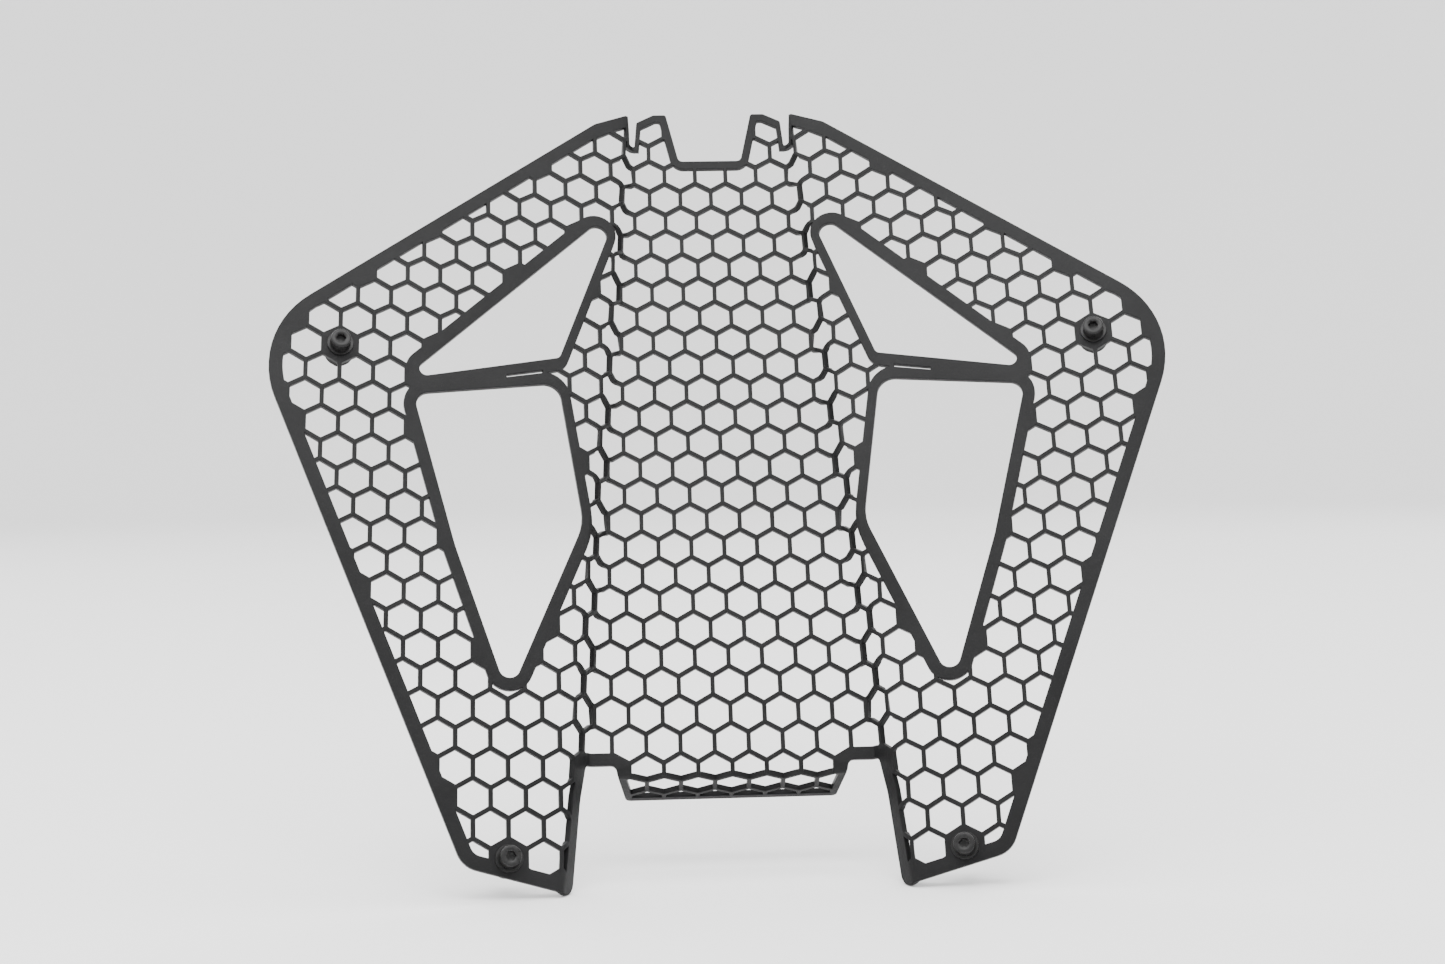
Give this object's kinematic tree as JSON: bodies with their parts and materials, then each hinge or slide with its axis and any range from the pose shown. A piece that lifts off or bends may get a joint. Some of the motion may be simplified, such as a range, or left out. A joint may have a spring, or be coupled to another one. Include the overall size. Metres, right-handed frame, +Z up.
{
  "type": "motorcycle headlight guard",
  "caption": "Folded honeycomb sheet guard for a naked motorcycle's headlight, with a recessed centre, swept wings with large apertures, and cap screws with washers and rubber spacers.",
  "frame": {"origin": "middle of the whole part's box, on its plane of symmetry", "axes": "+X to the right as seen from in front, +Y from the front of the guard towards the headlight, +Z up"},
  "size_m": [0.3112, 0.14, 0.2672],
  "materials": {
    "powder_coat": "fine textured satin black powder coat on aluminium",
    "black_screw_steel": "black oxide, slightly oiled",
    "spacer_rubber": "matt moulded"
  },
  "bodies": {
    "root": {"guard_panel": "powder_coat", "screw_upper_right": "black_screw_steel", "washer_upper_right": "black_screw_steel", "spacer_upper_right": "spacer_rubber", "screw_upper_left": "black_screw_steel", "washer_upper_left": "black_screw_steel", "spacer_upper_left": "spacer_rubber", "screw_lower_right": "black_screw_steel", "washer_lower_right": "black_screw_steel", "spacer_lower_right": "spacer_rubber", "screw_lower_left": "black_screw_steel", "washer_lower_left": "black_screw_steel", "spacer_lower_left": "spacer_rubber"}
  },
  "joints": []
}
